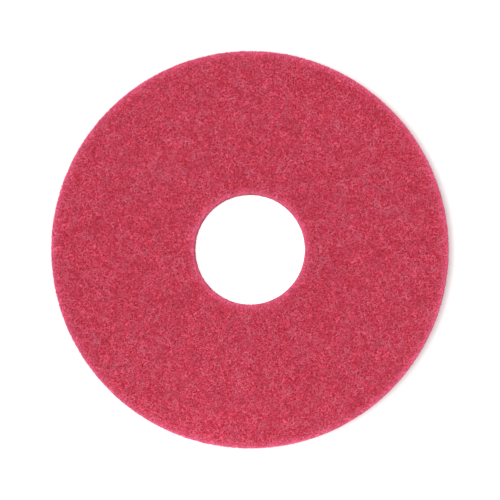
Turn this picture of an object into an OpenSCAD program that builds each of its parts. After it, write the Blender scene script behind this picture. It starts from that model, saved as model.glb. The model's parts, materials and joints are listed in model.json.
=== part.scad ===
// Floor pad: a ring of lofty non-woven web, die-cut in one piece.
// It lies flat with its axis along Z. The origin is the centre of the working face.

/* [Web] */
// Outside diameter of the ring, 12 inches
pad_d = 304.8; // [200:0.1:560]
// Thickness of the web at rest, 1 inch
pad_t = 25.4; // [12:0.1:40]
// Rounding that the web springs back to along each cut edge
edge_r = 2; // [0.5:0.1:5]

/* [Centre hole] */
// Diameter of the hole that drops over the driver's centre lock
hole_d = 84; // [60:0.1:120]

/* [Hidden] */
$fn = 180;
web_red = [0.76, 0.26, 0.34];
ring_w = (pad_d - hole_d) / 2;

// Half section of the ring: two crossed bars with a round at each corner
module ring_section() {
    translate([edge_r, 0])
        square([ring_w - 2 * edge_r, pad_t]);
    translate([0, edge_r])
        square([ring_w, pad_t - 2 * edge_r]);
    for (x = [edge_r, ring_w - edge_r], y = [edge_r, pad_t - edge_r])
        translate([x, y])
            circle(r = edge_r);
}

module floor_pad() {
    color(web_red)
        rotate_extrude()
            translate([hole_d / 2, 0])
                ring_section();
}

floor_pad();
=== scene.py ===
import json
import math

import bmesh
import bpy
import numpy as np
from bpy.props import FloatProperty, FloatVectorProperty, IntProperty, PointerProperty
from bpy.types import Operator, Panel, PropertyGroup
from mathutils import Matrix, Vector


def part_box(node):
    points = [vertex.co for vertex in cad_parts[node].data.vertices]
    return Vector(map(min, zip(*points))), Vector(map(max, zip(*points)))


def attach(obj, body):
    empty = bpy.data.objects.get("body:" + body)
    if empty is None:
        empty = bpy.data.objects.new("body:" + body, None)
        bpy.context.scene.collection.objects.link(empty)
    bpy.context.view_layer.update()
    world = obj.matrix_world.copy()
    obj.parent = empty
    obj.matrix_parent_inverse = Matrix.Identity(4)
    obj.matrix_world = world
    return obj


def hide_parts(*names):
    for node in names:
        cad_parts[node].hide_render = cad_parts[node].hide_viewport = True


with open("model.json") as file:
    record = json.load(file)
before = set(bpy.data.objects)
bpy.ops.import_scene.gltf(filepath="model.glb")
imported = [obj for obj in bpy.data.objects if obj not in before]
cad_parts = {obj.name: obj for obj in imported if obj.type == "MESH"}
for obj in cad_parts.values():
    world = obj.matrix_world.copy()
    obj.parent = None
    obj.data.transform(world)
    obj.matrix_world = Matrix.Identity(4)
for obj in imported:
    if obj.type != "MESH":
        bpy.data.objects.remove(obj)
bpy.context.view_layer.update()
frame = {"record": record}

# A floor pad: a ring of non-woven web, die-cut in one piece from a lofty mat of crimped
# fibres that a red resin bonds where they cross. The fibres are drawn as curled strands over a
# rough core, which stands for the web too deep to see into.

bl_info = {
    "name": "Floor pad",
    "version": (1, 0, 0),
    "blender": (4, 5, 0),
    "location": "3D View > Sidebar > Floor pad",
    "description": "Builds a non-woven floor pad from strands of bonded fibre, on a light table",
    "category": "Add Mesh",
}

MM = 0.001

# The pad's own sizes, which the frame holds
PAD_LOW, PAD_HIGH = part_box("floor_pad")
CENTRE_HOLE = next(m for m in frame["record"]["mounts"] if m["name"] == "centre_hole")
RIM_RADIUS = (PAD_HIGH.x - PAD_LOW.x) / 2
HOLE_RADIUS = CENTRE_HOLE["dims"]["r_mm"] * MM
THICKNESS = PAD_HIGH.z - PAD_LOW.z
# The straight length of the hole's wall stops short of both faces by the rounding of the cut edge
EDGE_ROUND = (THICKNESS - CENTRE_HOLE["dims"]["length_mm"] * MM) / 2

# Sockets of the Mix node when it mixes colours
FACTOR, FIRST, SECOND, MIXED = 0, 6, 7, 2

# The map that holds each strand's own patch of colour
STRAND_MAP = "OFBake"


def linear(hex_code):
    """An sRGB hex colour as linear red, green and blue."""
    channels = [int(hex_code[i:i + 2], 16) / 255 for i in (0, 2, 4)]
    return tuple(c / 12.92 if c <= 0.04045 else ((c + 0.055) / 1.055) ** 2.4 for c in channels)


# ---------------------------------------------------------------- sizes and colours to change


class FloorPadWeb(PropertyGroup):
    """Sizes of the web and its fibres."""

    strand_width: FloatProperty(
        name="Strand width",
        description="Width the fibres are drawn at. Real ones are about 0.1 mm",
        default=0.29 * MM, min=0.1 * MM, max=1 * MM, unit="LENGTH", precision=5,
    )
    strand_length: FloatProperty(
        name="Strand length",
        description="Length of a strand before the die cuts it",
        default=12.5 * MM, min=4 * MM, max=40 * MM, unit="LENGTH", precision=4,
    )
    crimp: FloatProperty(
        name="Crimp length",
        description="Length of one wave of a fibre's crimp",
        default=7 * MM, min=3 * MM, max=30 * MM, unit="LENGTH", precision=4,
    )
    loft: FloatProperty(
        name="Loft",
        description="Depth of the loose strands over the core",
        default=1.9 * MM, min=0.5 * MM, max=4 * MM, unit="LENGTH", precision=4,
    )
    face_strands: IntProperty(
        name="Strands on a layer",
        description="Number of strands in each layer of a face",
        default=2450, min=100, max=4000,
    )
    wall_strands: IntProperty(
        name="Strands on the rim",
        description="Number of strands in the outer wall",
        default=2450, min=100, max=4000,
    )
    cut_ends: IntProperty(
        name="Cut ends",
        description="Number of fibre ends that the die leaves in the outer wall",
        default=15000, min=100, max=24000,
    )
    resin_beads: IntProperty(
        name="Resin beads",
        description="Number of beads of resin on the working face",
        default=2600, min=100, max=8000,
    )


class FloorPadColours(PropertyGroup):
    """Colours of the web."""

    strand_red: FloatVectorProperty(
        name="Strand red", description="Resin-coated fibre in the light",
        default=linear("D0315B"), size=3, min=0, max=1, subtype="COLOR",
    )
    strand_deep: FloatVectorProperty(
        name="Deep strand red", description="Fibre with a thick, dark coat of resin",
        default=linear("C61A34"), size=3, min=0, max=1, subtype="COLOR",
    )
    # Barely coated fibre, whose pale colour also stands in for the glints on the fibres: a painted
    # highlight
    pale_strand_and_glint: FloatVectorProperty(
        name="Pale strand", description="Fibre that the resin barely coats",
        default=linear("EB9CB3"), size=3, min=0, max=1, subtype="COLOR",
    )
    # Its pink is partly fibre pressed and bared by the die and partly painted glow of light through
    # the cut edges
    rim_pink_and_glow: FloatVectorProperty(
        name="Rim pink", description="Fibre that the die has pressed and bared at the cut edges",
        default=linear("FF709A"), size=3, min=0, max=1, subtype="COLOR",
    )
    core_red: FloatVectorProperty(
        name="Core red", description="Web seen between the strands",
        default=linear("D62A4C"), size=3, min=0, max=1, subtype="COLOR",
    )
    # The dark of the pores is painted shade, where light does not reach into the web
    pore_shade_red: FloatVectorProperty(
        name="Pit red", description="Open pores that go deep into the web",
        default=linear("860A20"), size=3, min=0, max=1, subtype="COLOR",
    )


class FloorPadStudio(PropertyGroup):
    """The table, lights and camera."""

    table_white: FloatVectorProperty(
        name="Table white", description="Colour of the light table",
        default=linear("D8D8D8"), size=3, min=0, max=1, subtype="COLOR",
    )
    table_glow: FloatProperty(
        name="Table glow", description="Light that comes up through the table's top",
        default=0.3, min=0, max=2,
    )
    hole_glow: FloatProperty(
        name="Glow under the hole",
        description="Light that comes up through the table's top inside the pad's hole",
        default=0.8, min=0, max=2,
    )
    room_light: FloatProperty(
        name="Room light", description="Strength of the soft light from all round",
        default=0.6, min=0, max=3,
    )
    key_light: FloatProperty(
        name="Key light", description="Strength of the soft light from the left",
        default=2.28, min=0, max=20,
    )
    fill_light: FloatProperty(
        name="Fill light", description="Power of the low strip light in front of the pad",
        default=0.035, min=0, max=5, unit="POWER",
    )
    camera_height: FloatProperty(
        name="Camera height", description="Height of the camera over the pad",
        default=2.0, min=0.5, max=10, unit="LENGTH",
    )


# ---------------------------------------------------------------- the shape of the web


def plane_waves(seed, count, shortest, longest):
    """Seeded waves in all directions: their wave vectors as rows, and their phases."""
    rng = np.random.default_rng(seed)
    way = rng.normal(size=(count, 3))
    way /= np.linalg.norm(way, axis=1, keepdims=True)
    length = rng.uniform(shortest, longest, (count, 1))
    return way * math.tau / length, rng.uniform(0, math.tau, count)


def swell(points, waves):
    """The waves' sum at each point, about -1 to 1 with a mean of 0."""
    vectors, phases = waves
    total = np.zeros(points.shape[:-1])
    for vector, phase in zip(vectors, phases):
        total += np.sin(points @ vector + phase)
    return total / math.sqrt(2 * len(phases))


# The mat's thickness drifts slowly, and its fibres gather in clumps with open pores between
# them. Each of the three has waves of its own lengths, and a depth
DRIFT = plane_waves(11, 14, 34 * MM, 80 * MM)
CLUMPS = plane_waves(12, 26, 6 * MM, 13 * MM)
PORES = plane_waves(13, 32, 2.8 * MM, 5 * MM)
DRIFT_DEPTH = 0.16 * MM
CLUMP_DEPTH = 0.17 * MM
PORE_DEPTH = 0.3 * MM
# Width of the stretch that the die presses at each cut edge, and of the pink edge colour with its
# painted glow
PRESSED_EDGE = 10.5 * MM
# Looseness of the web right at a cut
PRESSED_LOOSENESS = 0.33
# Length of a strand's straight pieces, short enough to follow its crimp
STRAND_STEP = 0.96 * MM
# Sides of a strand's cross-section, which is too thin to need more
STRAND_SIDES = 3
# Share of the loft through which the strands lie spread, the share by which each one rises and
# falls about its own level, and the lengths of those waves
LAYER_SPREAD = 0.75
WEAVE_HEIGHT = 0.16
WEAVE_LENGTHS = (4 * MM, 8 * MM)
# Share of the faces' loft that a cut wall has
WALL_LOFT = 0.5
# Share of the loft that lies over the core, so that the deepest strands sink into it
CORE_COVER = 0.6
# Widths of the thinnest and the widest strands, as shares of the strand width
THINNEST, WIDEST = 0.7, 1.25
# Length of the cut ends, and how far behind the wall's outline their tips may stop
CUT_END_LENGTHS = (1.0 * MM, 2.2 * MM)
TIP_DEPTH = 0.35 * MM
# Spacing of the core's points across its section, and their number round the pad, which
# together keep the core within 200,000 triangles
CORE_SPACING = 1.3 * MM
CORE_STEPS = 452
# Fine roughness of the core's surface
CORE_GRIT = 0.1 * MM
# Distance that the resin beads keep from the cuts, and how deep in the strands they sit
BEAD_MARGIN = 1.5 * MM
BEAD_DEPTHS = (0.25 * MM, 0.8 * MM)


def cut_gap(points):
    """How far each point is from the nearer cut, at the rim or the hole."""
    reach = np.hypot(points[..., 0], points[..., 1])
    return np.minimum(reach - HOLE_RADIUS, RIM_RADIUS - reach)


def looseness(points):
    """1 in the open web, and less near the cuts, where the die has pressed it even."""
    return np.clip(cut_gap(points) / PRESSED_EDGE, PRESSED_LOOSENESS, 1)


def web_dip(points):
    """How far the web's surface dips below its smooth outline. The die leaves its edges even."""
    drift = DRIFT_DEPTH * (1 + swell(points, DRIFT))
    clumps = CLUMP_DEPTH * (1 + swell(points, CLUMPS))
    return looseness(points) * np.clip(drift + clumps, 0, None)


def edge_drop(gap):
    """How far the rounded edge drops at a distance gap from the cut."""
    into = np.clip(EDGE_ROUND - gap, 0, EDGE_ROUND)
    return EDGE_ROUND - np.sqrt(EDGE_ROUND ** 2 - into ** 2)


def crimped_walks(rng, count, steps, crimp, rise=1.0):
    """Flat walks that turn as crimped fibres do, centred on 0. A rise under 1 levels them."""
    along = (np.arange(steps) + 0.5) * STRAND_STEP
    heading = rng.uniform(0, math.tau, (count, 1)) + rng.normal(0, 0.7, (count, 1)) * along / crimp
    # The crimp and a tighter wave over it, with how far each turns the fibre, in radians
    for share, swing in ((1.0, 1.15), (0.5, 0.45)):
        wave = crimp * share * rng.uniform(0.7, 1.4, (count, 1))
        phase = rng.uniform(0, math.tau, (count, 1))
        heading = heading + swing * np.sin(math.tau * along / wave + phase)
    moves = STRAND_STEP * np.stack([np.cos(heading), rise * np.sin(heading)], axis=2)
    walks = np.concatenate([np.zeros((count, 1, 2)), np.cumsum(moves, axis=1)], axis=1)
    return walks - walks.mean(axis=1, keepdims=True)


def weave_depth(rng, count, points, loft):
    """Depth of each point of each strand as it passes over and under its neighbours."""
    along = np.arange(points) * STRAND_STEP
    wave = rng.uniform(*WEAVE_LENGTHS, (count, 1))
    phase = rng.uniform(0, math.tau, (count, 1))
    # The power packs the strands a little closer near the surface
    layer = rng.uniform(0, 1, (count, 1)) ** 1.2 * loft * LAYER_SPREAD
    return layer + loft * WEAVE_HEIGHT * (1 + np.sin(math.tau * along / wave + phase))


def cut_between(values, low, high):
    """The longest run of a walk whose values lie between low and high, and how far past each
    end of the run the cut falls, as (first, last, share before first, share after last)."""
    inside = (values > low) & (values < high)
    turns = np.flatnonzero(np.diff(np.concatenate(([0], inside.astype(int), [0]))))
    if not len(turns):
        return None
    starts, stops = turns[::2], turns[1::2]
    best = int(np.argmax(stops - starts))
    first, last = starts[best], stops[best] - 1

    def share(inner, outer):
        bound = high if values[outer] >= high else low
        return (bound - values[inner]) / (values[outer] - values[inner])

    before = share(first, first - 1) if first > 0 else 0
    after = share(last, last + 1) if last < len(values) - 1 else 0
    return first, last, before, after


def die_cut(path, values, low, high):
    """The path cut off clean where values leave low to high, or None if too little is left."""
    cut = cut_between(values, low, high)
    if cut is None:
        return None
    first, last, before, after = cut
    rows = [path[first:last + 1]]
    # A stump shorter than a twentieth of a step is left off
    if before > 0.05:
        rows.insert(0, path[first:first + 1] + before * (path[first - 1] - path[first]))
    if after > 0.05:
        rows.append(path[last:last + 1] + after * (path[last + 1] - path[last]))
    whole = np.concatenate(rows)
    return whole if len(whole) > 2 else None


def face_paths(web, seed, count, top):
    """Strands on one face, cut off at the hole and the rim."""
    rng = np.random.default_rng(seed)
    steps = round(web.strand_length / STRAND_STEP)
    half = web.strand_width * WIDEST / 2
    # Middles lie a little past the cuts too, so that the strands stay as dense up to them
    margin = web.strand_length / 3
    reach = np.sqrt(rng.uniform((HOLE_RADIUS - margin) ** 2, (RIM_RADIUS + margin) ** 2, count))
    turn = rng.uniform(0, math.tau, count)
    middle = np.stack([reach * np.cos(turn), reach * np.sin(turn)], axis=1)
    flat = middle[:, None, :] + crimped_walks(rng, count, steps, web.crimp)
    depth = weave_depth(rng, count, steps + 1, web.loft)
    reach = np.hypot(flat[..., 0], flat[..., 1])
    gap = cut_gap(flat)
    level, inward = (PAD_HIGH.z, -1) if top else (PAD_LOW.z, 1)
    laid = np.dstack([flat, np.full(reach.shape, level)])
    laid[..., 2] += inward * (half + depth + edge_drop(gap) + web_dip(laid))
    cuts = [die_cut(path, away, HOLE_RADIUS + half, RIM_RADIUS - half)
            for path, away in zip(laid, reach)]
    return [path for path in cuts if path is not None]


def wall_paths(web, seed, count, radius, outward):
    """Strands in a cut wall, mostly level, as the mat's layers lie. outward is 1 at the rim."""
    rng = np.random.default_rng(seed)
    steps = round(web.strand_length / STRAND_STEP)
    half = web.strand_width * WIDEST / 2
    around = rng.uniform(0, math.tau, count) * radius
    # Middles lie a little past the faces too, so that the strands stay as dense up to them
    height = rng.uniform(-0.08, 1.08, count) * THICKNESS
    walks = crimped_walks(rng, count, steps, web.crimp, rise=0.5)
    walks += np.stack([around, height], axis=1)[:, None, :]
    depth = weave_depth(rng, count, steps + 1, WALL_LOFT * web.loft)
    angle, height = walks[..., 0] / radius, walks[..., 1]
    gap = np.minimum(height, THICKNESS - height)
    wall = np.dstack([radius * np.cos(angle), radius * np.sin(angle), height])
    reach = radius - outward * (half + depth + edge_drop(gap) + web_dip(wall))
    laid = np.dstack([reach * np.cos(angle), reach * np.sin(angle), PAD_LOW.z + height])
    cuts = [die_cut(path, up, half, THICKNESS - half) for path, up in zip(laid, height)]
    return [path for path in cuts if path is not None]


def cut_end_paths(web, seed, count, radius, outward):
    """Short ends of fibre that come out square through a cut wall."""
    rng = np.random.default_rng(seed)
    half = web.strand_width * WIDEST / 2
    angle = rng.uniform(0, math.tau, count)
    height = rng.uniform(half, THICKNESS - half, count)
    length = rng.uniform(*CUT_END_LENGTHS, count)
    gap = np.minimum(height, THICKNESS - height)
    tip = radius - outward * (edge_drop(gap) + rng.uniform(0, TIP_DEPTH, count))
    root = tip - outward * length
    # How far each end leans along the wall and up it
    lean = rng.normal(0, 0.45, (2, count)) * length
    paths = []
    for i in range(count):
        tip_at = (tip[i] * math.cos(angle[i]), tip[i] * math.sin(angle[i]), height[i])
        along = angle[i] + lean[0][i] / radius
        low = min(max(height[i] + lean[1][i], half), THICKNESS - half)
        root_at = (root[i] * math.cos(along), root[i] * math.sin(along), low)
        paths.append(np.array([root_at, tip_at]) + (0, 0, PAD_LOW.z))
    return paths


# ---------------------------------------------------------------- making meshes


def new_piece(name, mesh, material):
    """A shown piece that rides on the pad's only body, in its only material slot."""
    piece = bpy.data.objects.new(name, mesh)
    bpy.context.scene.collection.objects.link(piece)
    mesh.materials.clear()
    mesh.materials.append(material)
    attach(piece, "root")
    return piece


def strand_profile(width):
    """The outline that is swept along the strands."""
    outline = bpy.data.curves.new("strand_profile", "CURVE")
    spline = outline.splines.new("POLY")
    spline.points.add(STRAND_SIDES - 1)
    for i, point in enumerate(spline.points):
        turn = math.tau * i / STRAND_SIDES
        point.co = (width / 2 * math.cos(turn), width / 2 * math.sin(turn), 0, 1)
    spline.use_cyclic_u = True
    return bpy.data.objects.new("strand_profile", outline)


def swept_mesh(name, paths, widths, profile):
    """A tube with closed ends along each path, all in one mesh."""
    curve = bpy.data.curves.new(name, "CURVE")
    curve.dimensions = "3D"
    curve.bevel_mode = "OBJECT"
    curve.bevel_object = profile
    curve.use_fill_caps = True
    for path, width in zip(paths, widths):
        spline = curve.splines.new("POLY")
        spline.points.add(len(path) - 1)
        spline.points.foreach_set("co", np.column_stack([path, np.ones(len(path))]).ravel())
        spline.points.foreach_set("radius", np.full(len(path), width))
    sweep = bpy.data.objects.new(name, curve)
    bpy.context.scene.collection.objects.link(sweep)
    graph = bpy.context.evaluated_depsgraph_get()
    mesh = bpy.data.meshes.new_from_object(sweep.evaluated_get(graph), depsgraph=graph)
    bpy.data.objects.remove(sweep)
    return mesh


def mark_strands(mesh, paths, rng):
    """Gives each strand a tone of its own, and its own square of the map."""
    count = len(paths)
    sides = [STRAND_SIDES * (len(path) - 1) for path in paths]
    # A sweep's faces are each strand's two ends, strand by strand, and then each strand's sides
    owner = np.concatenate([np.repeat(np.arange(count), 2), np.repeat(np.arange(count), sides)])
    tone = mesh.attributes.new("strand_tone", "FLOAT", "FACE")
    tone.data.foreach_set("value", rng.uniform(0, 1, count)[owner])
    corners = np.zeros(len(mesh.polygons), int)
    mesh.polygons.foreach_get("loop_total", corners)
    owner = np.repeat(owner, corners)
    place = np.zeros(2 * len(mesh.loops))
    mesh.uv_layers[0].uv.foreach_get("vector", place)
    across = math.ceil(math.sqrt(count))
    square = np.column_stack([owner % across, owner // across])
    # A strand fills its square but for a margin of a tenth all round
    place = (square + 0.1 + 0.8 * place.reshape(-1, 2)) / across
    mesh.uv_layers.new(name=STRAND_MAP).uv.foreach_set("vector", place.ravel())


def close_ends(mesh):
    """Joins each tube to its end caps, turns all faces outward and shades them smooth."""
    shape = bmesh.new()
    shape.from_mesh(mesh)
    bmesh.ops.remove_doubles(shape, verts=shape.verts, dist=0.0001 * MM)
    bmesh.ops.recalc_face_normals(shape, faces=shape.faces)
    shape.to_mesh(mesh)
    shape.free()
    mesh.shade_smooth()


def strand_piece(name, paths, web, material, seed):
    """One piece made of all the strands in paths."""
    rng = np.random.default_rng(seed)
    profile = strand_profile(web.strand_width)
    widths = rng.uniform(THINNEST, WIDEST, len(paths))
    mesh = swept_mesh(name, paths, widths, profile)
    bpy.data.objects.remove(profile)
    mark_strands(mesh, paths, rng)
    close_ends(mesh)
    new_piece(name, mesh, material)


def core_section(face_cover, wall_cover):
    """The ring's cut section, below its faces and walls by their covers, as a loop of edges."""
    width = RIM_RADIUS - HOLE_RADIUS - 2 * wall_cover
    height = THICKNESS - 2 * face_cover
    section = bmesh.new()
    bmesh.ops.create_grid(section, x_segments=1, y_segments=1, size=0.5)
    bmesh.ops.scale(section, verts=section.verts, vec=(width, height, 1))
    # Rounded half as much as the pad's edges, so that it fills the corners under their strands
    bmesh.ops.bevel(section, geom=section.verts[:], offset=EDGE_ROUND / 2, segments=3,
                    affect="VERTICES", profile=0.5, material=-1)
    bmesh.ops.delete(section, geom=section.faces[:], context="FACES_ONLY")
    # The long sides are split into short edges, and the rounded corners already have them
    for vector, size in ((Vector((1, 0, 0)), width), (Vector((0, 1, 0)), height)):
        straight = [e for e in section.edges
                    if abs((e.verts[1].co - e.verts[0].co).dot(vector)) > size / 2]
        bmesh.ops.subdivide_edges(section, edges=straight, cuts=round(size / CORE_SPACING))
    bmesh.ops.rotate(section, verts=section.verts, matrix=Matrix.Rotation(math.pi / 2, 3, "X"))
    middle = ((RIM_RADIUS + HOLE_RADIUS) / 2, 0, (PAD_LOW.z + PAD_HIGH.z) / 2)
    bmesh.ops.translate(section, verts=section.verts, vec=middle)
    return section


def spun_mesh(name, section):
    """The section spun once round the pad's axis, closed and with its faces outward."""
    outline = bpy.data.meshes.new(name)
    section.to_mesh(outline)
    section.free()
    spun = bpy.data.objects.new(name, outline)
    bpy.context.scene.collection.objects.link(spun)
    screw = spun.modifiers.new("spin", "SCREW")
    screw.axis = "Z"
    screw.angle = math.tau
    screw.steps = screw.render_steps = CORE_STEPS
    screw.use_merge_vertices = True
    screw.merge_threshold = 0.01 * MM
    graph = bpy.context.evaluated_depsgraph_get()
    mesh = bpy.data.meshes.new_from_object(spun.evaluated_get(graph), depsgraph=graph)
    bpy.data.objects.remove(spun)
    shape = bmesh.new()
    shape.from_mesh(mesh)
    bmesh.ops.recalc_face_normals(shape, faces=shape.faces)
    shape.to_mesh(mesh)
    shape.free()
    return mesh


def core_mesh(loft):
    """The core: the section spun into a ring, then roughened into clumps and pores."""
    mesh = spun_mesh("web_core", core_section(CORE_COVER * loft, CORE_COVER * WALL_LOFT * loft))
    count = len(mesh.vertices)
    place = np.zeros(3 * count)
    out = np.zeros(3 * count)
    mesh.vertices.foreach_get("co", place)
    mesh.vertex_normals.foreach_get("vector", out)
    place, out = place.reshape(-1, 3), out.reshape(-1, 3)
    rng = np.random.default_rng(20)
    sunk = web_dip(place) + PORE_DEPTH * looseness(place) * swell(place, PORES)
    place = place - out * sunk[:, None] + rng.normal(0, CORE_GRIT, place.shape)
    mesh.vertices.foreach_set("co", place.ravel())
    mesh.update()
    mesh.shade_smooth()
    return mesh


def bead_mesh(web, seed, count):
    """Beads of resin that sit on the working face's strands."""
    rng = np.random.default_rng(seed)
    bead = bmesh.new()
    bmesh.ops.create_icosphere(bead, subdivisions=1, radius=1)
    one = bpy.data.meshes.new("one_bead")
    bead.to_mesh(one)
    bead.free()
    shape = bmesh.new()
    inner, outer = HOLE_RADIUS + BEAD_MARGIN, RIM_RADIUS - BEAD_MARGIN
    reach = np.sqrt(rng.uniform(inner ** 2, outer ** 2, count))
    turn = rng.uniform(0, math.tau, count)
    place = np.column_stack([reach * np.cos(turn), reach * np.sin(turn), np.full(count, PAD_HIGH.z)])
    sunk = web_dip(place) + rng.uniform(*BEAD_DEPTHS, count)
    radii = web.strand_width * rng.uniform(0.55, 0.95, count)
    turns = rng.uniform(0, math.tau, count)
    for at, depth, radius, angle in zip(place, sunk, radii, turns):
        turned = Matrix.Rotation(angle, 4, "X") @ Matrix.Scale(radius, 4)
        one_at = Matrix.Translation(at - (0, 0, depth)) @ turned
        one.transform(one_at)
        shape.from_mesh(one)
        one.transform(one_at.inverted())
    mesh = bpy.data.meshes.new("resin_beads")
    shape.to_mesh(mesh)
    shape.free()
    bpy.data.meshes.remove(one)
    mesh.shade_smooth()
    return mesh


# ---------------------------------------------------------------- materials


def add_node(tree, kind, inputs=None, **settings):
    """A new node. inputs gives a value or an output to link for each input's name or number."""
    node = tree.nodes.new(kind)
    for name, value in settings.items():
        setattr(node, name, value)
    for socket, value in (inputs or {}).items():
        if isinstance(value, bpy.types.NodeSocket):
            tree.links.new(value, node.inputs[socket])
        else:
            node.inputs[socket].default_value = value
    return node


def new_material(name):
    """An empty node material and its tree."""
    material = bpy.data.materials.new(name)
    material.use_nodes = True
    material.node_tree.nodes.clear()
    return material, material.node_tree


def mix_colours(tree, factor, first, second):
    """The output of a node that mixes two colours, each a property or an output."""
    pair = {FIRST: first, SECOND: second}
    inputs = {k: c if isinstance(c, bpy.types.NodeSocket) else (*c, 1) for k, c in pair.items()}
    return add_node(tree, "ShaderNodeMix", {FACTOR: factor, **inputs},
                    data_type="RGBA").outputs[MIXED]


def pink_and_glow_edge(tree, place, grain, colour, pressed):
    """The colour, turning to pressed near the cuts of both faces and a little on the walls, and more
    so where the grain is high. pressed is the pink edge colour: partly fibre that the die has pressed,
    partly painted glow of light through the cut edges."""
    flat = add_node(tree, "ShaderNodeVectorMath",
                    {0: place, 1: (1, 1, 0)}, operation="MULTIPLY").outputs[0]
    reach = add_node(tree, "ShaderNodeVectorMath", {0: flat}, operation="LENGTH").outputs["Value"]
    near_cut = [
        add_node(tree, "ShaderNodeMapRange",
                 {"Value": reach, "From Min": start, "From Max": cut}).outputs[0]
        for start, cut in ((RIM_RADIUS - PRESSED_EDGE, RIM_RADIUS),
                           (HOLE_RADIUS + PRESSED_EDGE, HOLE_RADIUS))
    ]
    nearer = add_node(tree, "ShaderNodeMath",
                      {0: near_cut[0], 1: near_cut[1]}, operation="MAXIMUM").outputs[0]
    # The third power keeps the pink edge colour, with its painted glow, close to the cuts
    edge = add_node(tree, "ShaderNodeMath", {0: nearer, 1: 3}, operation="POWER").outputs[0]
    height = add_node(tree, "ShaderNodeSeparateXYZ", {0: place}).outputs["Z"]
    middle = (PAD_LOW.z + PAD_HIGH.z) / 2
    lift = add_node(tree, "ShaderNodeMath", {0: height, 1: middle}, operation="SUBTRACT").outputs[0]
    off_middle = add_node(tree, "ShaderNodeMath", {0: lift}, operation="ABSOLUTE").outputs[0]
    # Between its two edges a wall takes a fifth of it
    near_face = add_node(tree, "ShaderNodeMapRange",
                         {"Value": off_middle, "From Min": THICKNESS / 2 - 3 * EDGE_ROUND,
                          "From Max": THICKNESS / 2 - EDGE_ROUND, "To Min": 0.2}).outputs[0]
    mask = add_node(tree, "ShaderNodeMath", {0: edge, 1: near_face}, operation="MULTIPLY").outputs[0]
    factor = add_node(tree, "ShaderNodeMath", {0: mask, 1: grain}, operation="MULTIPLY").outputs[0]
    return mix_colours(tree, factor, colour, pressed)


def coated_fibre(colours):
    """Polyester fibre, crimped, spray-bonded with a red resin: satin, with each strand's own amount of
    colour, its palest strands partly painted glints, and paler and pinker at the cut edges, partly
    where the die has pressed them and partly as painted glow of light through the edges."""
    material, tree = new_material("spray_bonded_polyester_fibre")
    place = add_node(tree, "ShaderNodeTexCoord").outputs["Object"]
    tone = add_node(tree, "ShaderNodeAttribute", attribute_name="strand_tone").outputs["Fac"]
    # Patches of thicker and thinner resin, about 7 mm across
    patches = add_node(tree, "ShaderNodeTexNoise",
                       {"Vector": place, "Scale": 1 / (7 * MM), "Detail": 2}).outputs[0]
    # Blobs of thicker resin along a fibre, about 0.6 mm apart
    flecks = add_node(tree, "ShaderNodeTexNoise",
                      {"Vector": place, "Scale": 1 / (0.6 * MM), "Detail": 1}).outputs[0]
    coating = add_node(tree, "ShaderNodeMath",
                       {0: patches, 1: 0.5, 2: flecks}, operation="MULTIPLY_ADD").outputs[0]
    bareness = add_node(tree, "ShaderNodeMath", {0: tone, 1: coating}, operation="ADD").outputs[0]
    # Most strands lie between the deep red and the full one, and only the barest turn pale; the pale
    # also stands in for glints of light on the fibres, a painted highlight
    thin = add_node(tree, "ShaderNodeMapRange",
                    {"Value": bareness, "From Min": 0.65, "From Max": 1.35}).outputs[0]
    pale_and_glint = add_node(tree, "ShaderNodeMapRange",
                    {"Value": bareness, "From Min": 1.25, "From Max": 1.75, "To Max": 0.6}).outputs[0]
    body = mix_colours(tree, thin, colours.strand_deep, colours.strand_red)
    strand = mix_colours(tree, pale_and_glint, body, colours.pale_strand_and_glint)
    grain = add_node(tree, "ShaderNodeMapRange",
                     {"Value": bareness, "From Min": 0.7, "From Max": 1.5, "To Min": 0.35}).outputs[0]
    # Pink at the cuts: pressed fibre, and painted glow of light through the edges
    colour = pink_and_glow_edge(tree, place, grain, strand, colours.rim_pink_and_glow)
    shader = add_node(tree, "ShaderNodeBsdfPrincipled",
                      {"Base Color": colour, "Roughness": 0.5, "IOR": 1.52,
                       "Specular IOR Level": 0.38,
                       "Sheen Weight": 0.08, "Sheen Roughness": 0.5})
    add_node(tree, "ShaderNodeOutputMaterial", {"Surface": shader.outputs[0]})
    return material


def tangle(tree, place, curl, shift, height):
    """Thin curled lines like a layer of fibres, curl across: height on a fibre and 0 off it."""
    moved = add_node(tree, "ShaderNodeVectorMath",
                     {0: place, 1: (shift, shift, shift)}, operation="ADD").outputs[0]
    hills = add_node(tree, "ShaderNodeTexNoise",
                     {"Vector": moved, "Scale": 1 / curl, "Detail": 1,
                      "Roughness": 0.4}).outputs[0]
    # A fibre runs along each line where the hills stand at their middle height
    off = add_node(tree, "ShaderNodeMath", {0: hills, 1: 0.5}, operation="SUBTRACT").outputs[0]
    away = add_node(tree, "ShaderNodeMath", {0: off}, operation="ABSOLUTE").outputs[0]
    return add_node(tree, "ShaderNodeMapRange",
                    {"Value": away, "From Min": 0.015, "From Max": 0.07,
                     "To Min": height, "To Max": 0}).outputs[0]


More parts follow.
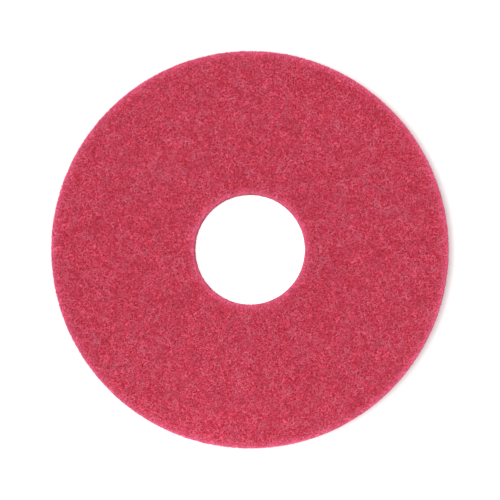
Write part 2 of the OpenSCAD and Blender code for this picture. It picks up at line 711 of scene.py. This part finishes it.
def porous_web(colours):
    """Non-woven web, air-laid and resin-bonded: matt, a tangle of fibres over open pores, whose
    darkness is painted shade.
    """
    material, tree = new_material("air_laid_nonwoven_web")
    place = add_node(tree, "ShaderNodeTexCoord").outputs["Object"]
    # Three layers of fibres, whose curls are 1.3 to 1.8 mm across. Real fibres are a third as
    # wide as these, which are drawn as coarse as the strands over them so that they show
    layers = [tangle(tree, place, curl * MM, shift, height)
              for curl, shift, height in ((1.8, 0, 1), (1.5, 0.7, 0.8), (1.3, 1.9, 0.6))]
    upper = add_node(tree, "ShaderNodeMath",
                     {0: layers[0], 1: layers[1]}, operation="MAXIMUM").outputs[0]
    fibres = add_node(tree, "ShaderNodeMath",
                      {0: upper, 1: layers[2]}, operation="MAXIMUM").outputs[0]
    # Off the fibre lines the web turns dark red: painted shade in the pores
    deep = mix_colours(tree, fibres, colours.pore_shade_red, colours.core_red)
    # The top layer of fibres is drawn paler: a painted highlight on the highest fibres
    pale_and_glint = add_node(tree, "ShaderNodeMath",
                    {0: layers[0], 1: 0.14}, operation="MULTIPLY").outputs[0]
    web = mix_colours(tree, pale_and_glint, deep, colours.pale_strand_and_glint)
    grain = add_node(tree, "ShaderNodeMapRange",
                     {"Value": fibres, "To Min": 0.35, "To Max": 0.9}).outputs[0]
    # Pink at the cuts: pressed fibre, and painted glow of light through the edges
    colour = pink_and_glow_edge(tree, place, grain, web, colours.rim_pink_and_glow)
    rough = add_node(tree, "ShaderNodeMapRange",
                     {"Value": fibres, "To Min": 0.9, "To Max": 0.6}).outputs[0]
    relief = add_node(tree, "ShaderNodeBump",
                      {"Height": fibres, "Distance": 0.25 * MM, "Strength": 0.8}).outputs[0]
    shader = add_node(tree, "ShaderNodeBsdfPrincipled",
                      {"Base Color": colour, "Roughness": rough, "Normal": relief, "IOR": 1.5,
                       "Specular IOR Level": 0.38})
    add_node(tree, "ShaderNodeOutputMaterial", {"Surface": shader.outputs[0]})
    return material


def resin_drop(colours):
    """Phenolic-type resin, sprayed and cured: small glossy drops, tinted unevenly."""
    material, tree = new_material("cured_resin")
    place = add_node(tree, "ShaderNodeTexCoord").outputs["Object"]
    tint = add_node(tree, "ShaderNodeTexNoise",
                    {"Vector": place, "Scale": 1 / (2 * MM), "Detail": 1}).outputs[0]
    # The pale in the tint is partly a painted glint on the drops
    colour = mix_colours(tree, tint, colours.strand_red, colours.pale_strand_and_glint)
    shader = add_node(tree, "ShaderNodeBsdfPrincipled",
                      {"Base Color": colour, "Roughness": 0.25, "IOR": 1.55})
    add_node(tree, "ShaderNodeOutputMaterial", {"Surface": shader.outputs[0]})
    return material


def light_table(studio):
    """Opal acrylic sheet, lit from below: white, matt and softly glowing, more so under the hole."""
    material, tree = new_material("opal_acrylic_light_table")
    place = add_node(tree, "ShaderNodeTexCoord").outputs["Object"]
    # The stronger glow fades out within 20 mm of the hole, under the pad
    reach = add_node(tree, "ShaderNodeVectorMath", {0: place}, operation="LENGTH").outputs["Value"]
    glow = add_node(tree, "ShaderNodeMapRange",
                    {"Value": reach, "From Min": HOLE_RADIUS, "From Max": HOLE_RADIUS + 20 * MM,
                     "To Min": studio.hole_glow, "To Max": studio.table_glow}).outputs[0]
    shader = add_node(tree, "ShaderNodeBsdfPrincipled",
                      {"Base Color": (*studio.table_white, 1), "Roughness": 0.6,
                       "Specular IOR Level": 0.2,
                       "Emission Color": (1, 1, 1, 1), "Emission Strength": glow})
    add_node(tree, "ShaderNodeOutputMaterial", {"Surface": shader.outputs[0]})
    return material


def shared(name, make, settings):
    """The material of that name, made the first time it is asked for."""
    return bpy.data.materials.get(name) or make(settings)


# ---------------------------------------------------------------- operators


class FLOORPAD_OT_core(Operator):
    """Build the core of the web, which stands for the pad's soft solid"""

    bl_idname = "floorpad.core"
    bl_label = "Web core"

    def execute(self, context):
        scene = context.scene
        mesh = core_mesh(scene.floor_pad_web.loft)
        material = shared("air_laid_nonwoven_web", porous_web, scene.floor_pad_colours)
        core = new_piece("web_core", mesh, material)
        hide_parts("floor_pad")
        return {"FINISHED"}


class FLOORPAD_OT_faces(Operator):
    """Lay the strands of both faces over the core, layer by layer"""

    bl_idname = "floorpad.faces"
    bl_label = "Face strands"

    # Layers on the working face, and on the face below, which is rarely seen
    TOP_LAYERS = 5
    LOWER_LAYERS = 2

    def execute(self, context):
        scene = context.scene
        web = scene.floor_pad_web
        material = shared("spray_bonded_polyester_fibre", coated_fibre, scene.floor_pad_colours)
        for face, layers, top in (("top", self.TOP_LAYERS, True), ("lower", self.LOWER_LAYERS, False)):
            for layer in range(layers):
                # A seed of its own for every layer
                seed = 100 + 10 * layer + top
                paths = face_paths(web, seed, web.face_strands, top)
                strand_piece(f"{face}_strands_{layer + 1}", paths, web, material, seed)
        return {"FINISHED"}


class FLOORPAD_OT_walls(Operator):
    """Lay the strands of the rim's and the hole's cut walls, with their cut ends"""

    bl_idname = "floorpad.walls"
    bl_label = "Wall strands"

    def execute(self, context):
        scene = context.scene
        web = scene.floor_pad_web
        material = shared("spray_bonded_polyester_fibre", coated_fibre, scene.floor_pad_colours)
        for wall, radius, outward in (("rim", RIM_RADIUS, 1), ("hole", HOLE_RADIUS, -1)):
            # The hole's wall has as many strands for its length as the rim's
            share = radius / RIM_RADIUS
            seed = 300 + outward
            paths = wall_paths(web, seed, round(web.wall_strands * share), radius, outward)
            strand_piece(f"{wall}_wall_strands", paths, web, material, seed)
            paths = cut_end_paths(web, seed + 50, round(web.cut_ends * share), radius, outward)
            strand_piece(f"{wall}_cut_ends", paths, web, material, seed + 50)
        return {"FINISHED"}


class FLOORPAD_OT_beads(Operator):
    """Scatter the beads of resin over the working face"""

    bl_idname = "floorpad.beads"
    bl_label = "Resin beads"

    def execute(self, context):
        scene = context.scene
        mesh = bead_mesh(scene.floor_pad_web, 400, scene.floor_pad_web.resin_beads)
        new_piece("resin_beads", mesh, shared("cured_resin", resin_drop, scene.floor_pad_colours))
        return {"FINISHED"}


class FLOORPAD_OT_studio(Operator):
    """Set up the light table, the lights and the camera"""

    bl_idname = "floorpad.studio"
    bl_label = "Studio"

    # Radius of the table, in metres, and the number of its sides
    TABLE_RADIUS = 60
    TABLE_SIDES = 96
    # Where the key light shines from, and how wide it looks from the pad
    KEY_PLACE = Vector((-0.64, 0, 3.2))
    KEY_SPREAD = math.radians(16)
    # The strip light's length and width, its place and the point that it shines on
    STRIP_SIZE = (200 * MM, 30 * MM)
    STRIP_PLACE = Vector((-20 * MM, PAD_LOW.y - 50 * MM, 70 * MM))
    STRIP_AIM = Vector((0, PAD_LOW.y, PAD_HIGH.z))
    # Length that the camera's frame spans at the pad's upper face, and the sensor's width in mm
    FRAME_WIDTH = 382 * MM
    SENSOR_WIDTH = 36.0
    # The point that the camera looks at, and the way from there to the camera
    CAMERA_AIM = Vector((0.3 * MM, -0.5 * MM, PAD_HIGH.z))
    CAMERA_WAY = Vector((0.02, -0.02, 1)).normalized()

    def table(self, studio):
        """A table so wide that its far edge meets the white behind it."""
        shape = bmesh.new()
        bmesh.ops.create_circle(shape, cap_ends=True, segments=self.TABLE_SIDES,
                                radius=self.TABLE_RADIUS)
        bmesh.ops.translate(shape, verts=shape.verts, vec=(0, 0, PAD_LOW.z))
        mesh = bpy.data.meshes.new("light_table")
        shape.to_mesh(mesh)
        shape.free()
        mesh.materials.append(light_table(studio))
        table = bpy.data.objects.new("light_table", mesh)
        bpy.context.scene.collection.objects.link(table)

    def room(self, studio):
        """White all round. The camera sees it as full white, and the light it gives is weaker."""
        world = bpy.data.worlds.new("white_room")
        world.use_nodes = True
        tree = world.node_tree
        tree.nodes.clear()
        seen = add_node(tree, "ShaderNodeLightPath").outputs["Is Camera Ray"]
        strength = add_node(tree, "ShaderNodeMapRange",
                            {"Value": seen, "To Min": studio.room_light, "To Max": 1.0}).outputs[0]
        white = add_node(tree, "ShaderNodeBackground", {"Color": (1, 1, 1, 1), "Strength": strength})
        add_node(tree, "ShaderNodeOutputWorld", {"Surface": white.outputs[0]})
        bpy.context.scene.world = world

    def soft_box(self, studio):
        """The key light: a sun lamp, as soft as a large soft box high on the left."""
        light = bpy.data.lights.new("key_light", "SUN")
        light.angle = self.KEY_SPREAD
        light.energy = studio.key_light
        key = bpy.data.objects.new("key_light", light)
        key.location = self.KEY_PLACE
        key.rotation_euler = self.KEY_PLACE.to_track_quat("Z", "Y").to_euler()
        bpy.context.scene.collection.objects.link(key)

    def strip(self, studio):
        """A weak strip light, low in front, that brightens the near rim."""
        light = bpy.data.lights.new("fill_light", "AREA")
        light.shape = "RECTANGLE"
        light.size, light.size_y = self.STRIP_SIZE
        light.energy = studio.fill_light
        fill = bpy.data.objects.new("fill_light", light)
        fill.location = self.STRIP_PLACE
        away = self.STRIP_PLACE - self.STRIP_AIM
        fill.rotation_euler = away.to_track_quat("Z", "Y").to_euler()
        fill.visible_camera = False
        bpy.context.scene.collection.objects.link(fill)

    def camera(self, studio):
        """Almost straight above the pad, a touch to the right and in front."""
        lens = bpy.data.cameras.new("camera")
        lens.sensor_width = self.SENSOR_WIDTH
        lens.lens = self.SENSOR_WIDTH * studio.camera_height / self.FRAME_WIDTH
        camera = bpy.data.objects.new("camera", lens)
        away = self.CAMERA_WAY
        camera.location = self.CAMERA_AIM + studio.camera_height * away
        # Turned so that its view's upward edge is the pad's +Y
        camera.rotation_euler = (math.asin(-away.y), math.atan2(away.x, away.z), 0)
        bpy.context.scene.collection.objects.link(camera)
        bpy.context.scene.camera = camera

    def execute(self, context):
        studio = context.scene.floor_pad_studio
        self.table(studio)
        self.room(studio)
        self.soft_box(studio)
        self.strip(studio)
        self.camera(studio)
        context.scene.view_settings.view_transform = "Standard"
        return {"FINISHED"}


class FLOORPAD_PT_build(Panel):
    """Lists the sizes, the colours and the steps that build the pad"""

    bl_idname = "FLOORPAD_PT_build"
    bl_label = "Floor pad"
    bl_space_type = "VIEW_3D"
    bl_region_type = "UI"
    bl_category = "Floor pad"

    def draw(self, context):
        scene = context.scene
        for settings in (scene.floor_pad_web, scene.floor_pad_colours, scene.floor_pad_studio):
            box = self.layout.box()
            for name in settings.__annotations__:
                box.prop(settings, name)
        for step in STEPS:
            self.layout.operator(step.bl_idname)


SETTINGS = {
    "floor_pad_web": FloorPadWeb,
    "floor_pad_colours": FloorPadColours,
    "floor_pad_studio": FloorPadStudio,
}
STEPS = (
    FLOORPAD_OT_core,
    FLOORPAD_OT_faces,
    FLOORPAD_OT_walls,
    FLOORPAD_OT_beads,
    FLOORPAD_OT_studio,
)
CLASSES = (*SETTINGS.values(), *STEPS, FLOORPAD_PT_build)


def register():
    for one in CLASSES:
        bpy.utils.register_class(one)
    for name, group in SETTINGS.items():
        setattr(bpy.types.Scene, name, PointerProperty(type=group))


def unregister():
    for name in SETTINGS:
        delattr(bpy.types.Scene, name)
    for one in reversed(CLASSES):
        bpy.utils.unregister_class(one)


def main():
    register()
    bpy.ops.floorpad.core()
    bpy.ops.floorpad.faces()
    bpy.ops.floorpad.walls()
    bpy.ops.floorpad.beads()
    bpy.ops.floorpad.studio()


if __name__ == "__main__":
    main()
